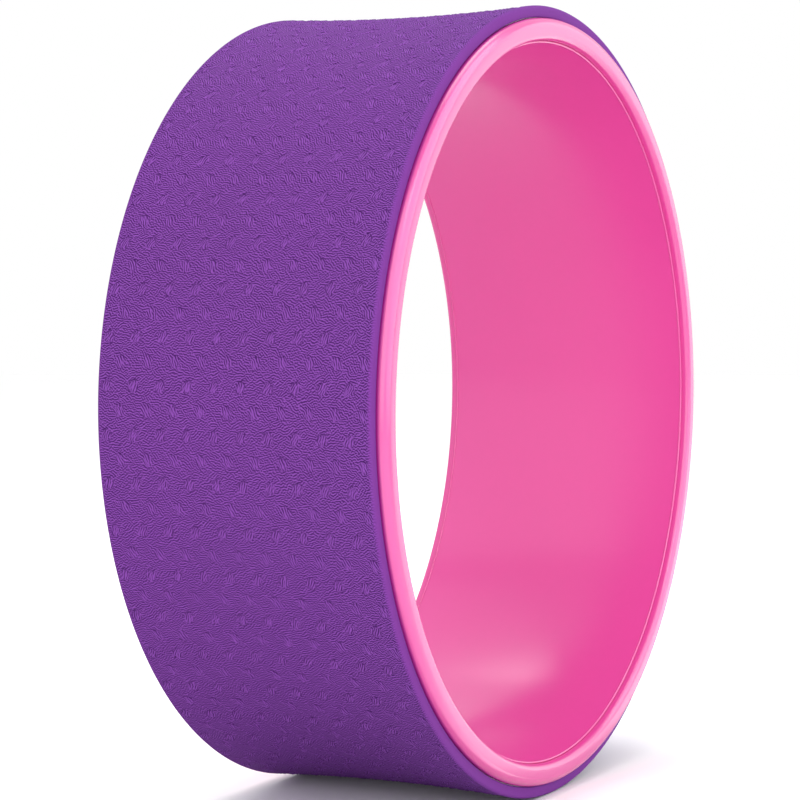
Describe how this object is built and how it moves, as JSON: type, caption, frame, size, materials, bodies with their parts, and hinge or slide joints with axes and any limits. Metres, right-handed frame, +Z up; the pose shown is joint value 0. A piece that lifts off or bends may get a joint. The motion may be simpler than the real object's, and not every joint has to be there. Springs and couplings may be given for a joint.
{
  "type": "yoga wheel",
  "caption": "Wide open hoop of glossy plastic with rounded rims and an embossed foam strip bonded round its hollowed tread, for back stretches and balance exercises.",
  "frame": {"origin": "centre of the wheel, on its axis at mid width", "axes": "+Y along the wheel's axis, from the rim face that shows in the picture to the far one; +Z up, as the wheel stands on its tread; the foam's seam is on the +X side"},
  "size_m": [0.33, 0.126, 0.33],
  "materials": {
    "hoop_plastic": "glossy moulded plastic, pink",
    "bonding_film": "thin off-white bonding film, hidden",
    "tread_foam": "matte closed-cell foam, purple, with a leaf emboss"
  },
  "bodies": {
    "root": {"hoop": "hoop_plastic", "adhesive_film": "bonding_film", "foam_pad": "tread_foam"}
  },
  "joints": []
}
